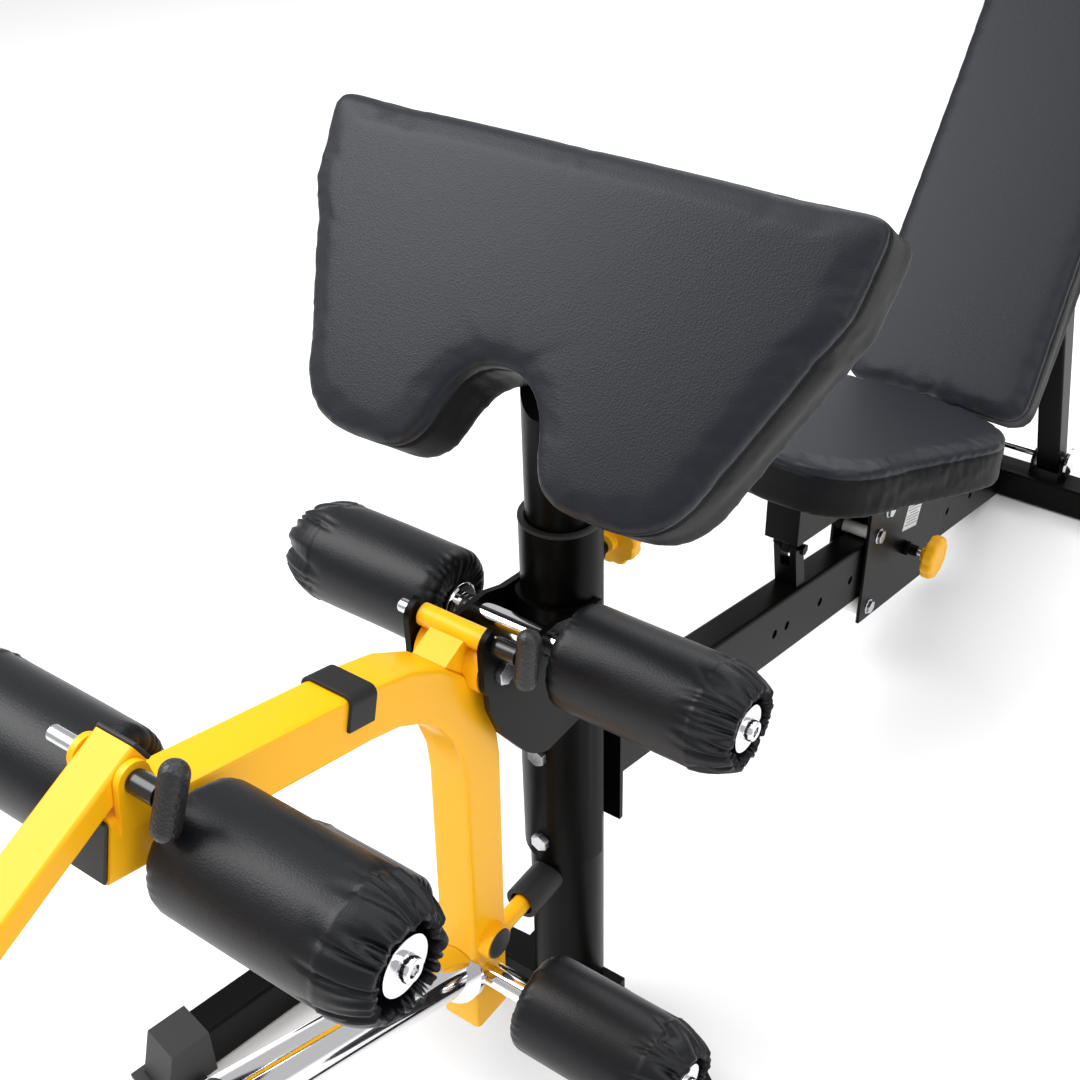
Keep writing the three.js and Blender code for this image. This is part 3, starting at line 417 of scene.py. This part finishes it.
def arm_band(node, tilt):
    """A rubber band over the arm with rounded shoulders, tilted by the arm's angle in degrees."""
    mid = centre(node)
    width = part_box(node)[1].x
    spin = Matrix.Rotation(math.radians(-tilt), 3, "X")
    tall, length, thick, bend = 30 * MM, 29 * MM, 3.2 * MM, 8 * MM

    def half_loop(w, top, r):
        return [(w, -tall / 2)] + arc(w - r, top - r, r, 0, 90)

    outer = half_loop(width, tall / 2, bend)
    inner = half_loop(width - thick, tall / 2 - thick, bend - thick)
    loop = outer + [(-x, z) for x, z in reversed(outer)]
    loop += [(-x, z) for x, z in inner] + inner[::-1]
    count = len(loop)
    verts = [mid + spin @ Vector((x, end * length / 2, z)) for end in (-1, 1) for x, z in loop]
    faces = [(i, (i + 1) % count, count + (i + 1) % count, count + i) for i in range(count)]
    near = len(outer) * 2
    for i in range(near - 1):
        j = count - 1 - i
        faces.append((i, j, j - 1, i + 1))
        faces.append((count + i, count + i + 1, count + j - 1, count + j))
    mesh = mesh_from(node + "_moulded", verts, faces)
    face_outward(mesh)
    obj = new_piece(node + "_moulded", mesh, RUBBER, BODY_OF[node])
    soft_edges(obj, 0.8 * MM)
    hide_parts(node)


LABEL_FROM_CORNER = (156 * MM, 160 * MM)
LABEL_TALL, LABEL_WIDE = 50 * MM, 56 * MM
LABEL_TURN = -20
BAR_PITCH, BAR_TALL = 4.6 * MM, 1.6 * MM
BAR_INDENTS = (4, 9, 4, 4, 12, 4, 4, 7, 4)  # millimetres


def info_label(plate):
    """A blank label on the plate's outer face, with bars where its print would be."""
    lo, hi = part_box(plate)
    face = hi.x
    mid = Vector((face, lo.y + LABEL_FROM_CORNER[0], lo.z + LABEL_FROM_CORNER[1]))
    left, right = mid.y - LABEL_WIDE / 2, mid.y + LABEL_WIDE / 2
    upper, lower = mid.z + LABEL_TALL / 2, mid.z - LABEL_TALL / 2
    block("info_label", (face - 0.5 * MM, left, lower), (face + 0.5 * MM, right, upper),
          LABEL, BODY_OF[plate], turn=LABEL_TURN, about=mid, soft=0.2 * MM)
    for row, indent in enumerate(BAR_INDENTS):
        top = upper - (5 * MM + BAR_PITCH * row)
        block(f"label_bar_{row}", (face + 0.3 * MM, left + indent * MM, top - BAR_TALL),
              (face + 0.6 * MM, right - indent * MM, top), PRINT, BODY_OF[plate],
              turn=LABEL_TURN, about=mid, soft=0.05 * MM)


# ---------- cushions ----------


START_INSET = 3 * MM  # the pad swells, so the cloth starts from a smaller shape
PRESSURE = 4.0
CLOTH_FRAMES = 20
CLOTH_SHARE = 0.4  # how much of the move is the cloth's; the rest keeps the CAD shape
KEPT_SWELL = 1.3  # in start insets
STIFFNESS = 15
BENDING = 0.5
MOVE_CAP = 6 * MM
FLAT_BASE = 0.35  # share of the thickness over which the pad gets free of its board
SMOOTHINGS = 3
SEAM_DROP = 11 * MM
SEAM_HALF_WIDTH = 2.6 * MM
SEAM_DEPTH = 1.6 * MM


def cushion(node, normal, voxel, crown):
    """An upholstered pad: remeshed from the CAD solid, blown up as cloth, then sewn."""
    obj = link_new(node + "_upholstery", NODES[node].data.copy())
    bpy.context.view_layer.objects.active = obj
    weld = obj.modifiers.new("Weld", "WELD")
    weld.merge_threshold = WELD
    remesh = obj.modifiers.new("Remesh", "REMESH")
    remesh.mode = "VOXEL"
    remesh.voxel_size = voxel
    smooth = obj.modifiers.new("Smooth", "SMOOTH")
    smooth.factor = 0.5
    smooth.iterations = SMOOTHINGS
    apply_modifiers(obj)
    up = Vector(normal).normalized()
    points = obj.data.vertices
    heights = [v.co.dot(up) for v in points]
    top, bottom = max(heights), min(heights)
    half_width = max(v.co.x for v in points)
    rest = [v.co.copy() for v in points]
    start = [v.co - v.normal * START_INSET for v in points]
    for v, co in zip(points, start):
        v.co = co
    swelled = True
    if swelled:
        blow_up(obj)
    for v, before, at in zip(obj.data.vertices, start, rest):
        move = (at - before) * KEPT_SWELL
        if swelled:
            move = move.lerp(v.co - before, CLOTH_SHARE)
        if move.length > MOVE_CAP:
            move *= MOVE_CAP / move.length
        height = (at.dot(up) - bottom) / (top - bottom)
        free = min(1.0, max(0.0, height / FLAT_BASE))
        middle = max(0.0, 1 - (at.x / half_width) ** 2)
        v.co = before + move * free + (at - before) * (1 - free) + up * (crown * middle * free)
    fine = obj.modifiers.new("Fine", "SUBSURF")
    fine.levels = fine.render_levels = 1
    apply_modifiers(obj)
    seam = top - SEAM_DROP
    cut_round(obj, up, seam)
    sew(obj, up, seam)
    mesh = obj.data
    mesh.polygons.foreach_set("use_smooth", [True] * len(mesh.polygons))
    mesh.materials.clear()
    mesh.materials.append(VINYL)
    mesh.materials.append(SHADED_BAND_VINYL)
    # Faces below the seam get the darker vinyl, which paints shade onto the side band.
    for face in mesh.polygons:
        face.material_index = 1 if face.center.dot(up) < seam else 0
    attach(obj, BODY_OF[node])
    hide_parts(node)


def apply_modifiers(obj):
    graph = bpy.context.evaluated_depsgraph_get()
    done = bpy.data.meshes.new_from_object(obj.evaluated_get(graph))
    obj.modifiers.clear()
    obj.data = done


def blow_up(obj):
    """Runs the cloth under pressure, with no gravity, and keeps its last frame."""
    scene = bpy.context.scene
    cloth = obj.modifiers.new("Cloth", "CLOTH")
    settings = cloth.settings
    settings.use_pressure = True
    settings.uniform_pressure_force = PRESSURE
    settings.effector_weights.gravity = 0
    settings.tension_stiffness = settings.compression_stiffness = STIFFNESS
    settings.bending_stiffness = BENDING
    cloth.point_cache.frame_start = 1
    cloth.point_cache.frame_end = CLOTH_FRAMES
    for step in range(1, CLOTH_FRAMES + 1):
        scene.frame_set(step)
    apply_modifiers(obj)
    scene.frame_set(1)


def cut_round(obj, up, height):
    """An edge loop all round the pad at the seam, where its face and its side band meet."""
    bm = bmesh.new()
    bm.from_mesh(obj.data)
    bmesh.ops.bisect_plane(bm, geom=bm.verts[:] + bm.edges[:] + bm.faces[:], dist=0.1 * MM,
                           plane_co=up * height, plane_no=up)
    bm.to_mesh(obj.data)
    bm.free()


def sew(obj, up, seam_height):
    """A sewn line round the pad: the vinyl pulls in at the seam."""
    mesh = obj.data
    # All the normals are read first, because each change of a point would work them out again.
    normals = [v.normal.copy() for v in mesh.vertices]
    for v, normal in zip(mesh.vertices, normals):
        side = 1 - abs(normal.dot(up))
        if side < 0.25:
            continue
        off = (v.co.dot(up) - seam_height) / SEAM_HALF_WIDTH
        if abs(off) < 3:
            v.co -= normal * (SEAM_DEPTH * math.exp(-off * off) * side)
    mesh.update()


# ---------- the bench ----------

POST = centre("front_post")
ROWS = ("upper", "front", "lower")

for side_index, side_name in enumerate(("left", "right")):
    for row_index, row in enumerate(ROWS):
        roller(f"{row}_roller_{side_name}", seed=1.7 * row_index + 5.3 * side_index)
for row in ROWS:
    roller_shaft(f"{row}_shaft", f"{row}_roller_right")

lobed_knob("preacher_knob", (0, 1, 0))
lobed_knob("carriage_knob", (1, 0, 0))
handle("lock_pin_handle", 10)
handle("curl_pin_handle", 24)
pull_pin("lock_pin", 41.6 * MM)
pull_pin("curl_pin", 24.2 * MM)
arm_band("arm_band", 15.5)
info_label("carriage_plate_right")

PLATE_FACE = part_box("carriage_plate_right")[1].x
for bolt in ("carriage_bolt_front_upper", "carriage_bolt_front_lower", "seat_pivot_bolt",
             "back_pivot_bolt"):
    spot = centre(bolt)
    washer(bolt + "_washer", (PLATE_FACE, spot.y, spot.z), 11 * MM, "carriage")

# The lever's cross stub is closed by a black plug at each end.
STUB_AT = Vector((0, -163 * MM + POST.y, 291 * MM))
STUB_PLUG = [(TIP, 33 * MM), (15.4 * MM, 33 * MM), (15.4 * MM, 35.4 * MM),
             (14.6 * MM, 36.4 * MM), (10 * MM, 37.2 * MM), (TIP, 37.5 * MM)]
for name, side in (("left", -1), ("right", 1)):
    turned(f"stub_plug_{name}", STUB_PLUG, STUB_AT, (side, 0, 0), PLASTIC, "lever",
           36)

PADS = {
    "seat_pad": dict(normal=(0, 0.2284, 0.9736), voxel=5 * MM, crown=3 * MM),
    "back_pad": dict(normal=(0, -0.7826, 0.6225), voxel=6 * MM, crown=4 * MM),
    "preacher_pad": dict(normal=(0, -0.788, 0.6157), voxel=5 * MM, crown=9 * MM),
}
for pad, how in PADS.items():
    cushion(pad, **how)

REPLACED = set(PADS) | {"preacher_knob", "carriage_knob", "lock_pin_handle", "curl_pin_handle",
                        "lock_pin", "curl_pin", "arm_band"}
REPLACED |= {f"{row}_{what}" for row in ROWS for what in ("shaft", "roller_left", "roller_right")}
for node in sorted(NODES):
    if node not in REPLACED:
        refine(node)


# ---------- studio ----------

YAW, PITCH, ROLL = (math.radians(a) for a in (36.32, 35.82, 1.75))
SENSOR = 36
FOCAL_WIDTHS = 1480 / 1080  # the focal length in widths of the picture
EYE = Vector((0.6163, -0.8701, 1.4208))  # from the foot of the post
FLOOR_HALF = 30
FLOOR_COLOR = (0.96, 0.96, 0.965)
SKY_STRENGTH = 0.6
LIGHTS = (  # name, place, target, width, height, watts
    ("key", (-2.0, -1.4, 3.0), (0, -0.2, 0.4), 2.0, 2.0, 95),
    ("overhead", (0.5, 0.8, 4.2), (0.5, 0.8, 0), 5.0, 6.0, 120),
    ("fill", (2.6, -0.8, 2.2), (0, 0.2, 0.4), 1.6, 2.2, 22),
    ("rear", (-0.5, 3.2, 2.8), (0, 0.4, 0.5), 2.6, 1.4, 35),
)


def place_camera():
    """The photograph's viewing angle, from where its straight edges meet."""
    look = Vector((-math.sin(YAW) * math.cos(PITCH), math.cos(YAW) * math.cos(PITCH),
                   -math.sin(PITCH)))
    level = Vector((math.cos(YAW), math.sin(YAW), 0))
    down = look.cross(level)
    right = level * math.cos(ROLL) + down * math.sin(ROLL)
    below = down * math.cos(ROLL) - level * math.sin(ROLL)
    data = bpy.data.cameras.new("camera")
    data.sensor_width = SENSOR
    data.lens = SENSOR * FOCAL_WIDTHS
    data.clip_end = 100
    cam = link_new("camera", data)
    turn = Matrix((right, -below, -look)).transposed()
    cam.matrix_world = Matrix.Translation(EYE + Vector((POST.x, POST.y, 0))) @ turn.to_4x4()
    bpy.context.scene.camera = cam


def softbox(name, place, target, width, height, watts):
    data = bpy.data.lights.new(name, "AREA")
    data.shape = "RECTANGLE"
    data.size, data.size_y = width, height
    data.energy = watts
    lamp = link_new(name, data)
    lamp.location = place
    lamp.rotation_euler = (Vector(target) - Vector(place)).to_track_quat("-Z", "Y").to_euler()


def studio():
    corners = [(x * FLOOR_HALF, y * FLOOR_HALF, 0)
               for x, y in ((-1, -1), (1, -1), (1, 1), (-1, 1))]
    floor = link_new("floor", mesh_from("floor", corners, [(0, 1, 2, 3)], smooth=False))
    floor.data.materials.append(material("pale_floor", FLOOR_COLOR, 0.7, specular=0.1))
    world = bpy.data.worlds.new("studio")
    bpy.context.scene.world = world
    world.use_nodes = True
    sky = world.node_tree.nodes["Background"]
    sky.inputs["Color"].default_value = (1, 1, 1, 1)
    sky.inputs["Strength"].default_value = SKY_STRENGTH
    for light in LIGHTS:
        softbox(*light)


bpy.context.scene.view_settings.view_transform = "Standard"
place_camera()
studio()
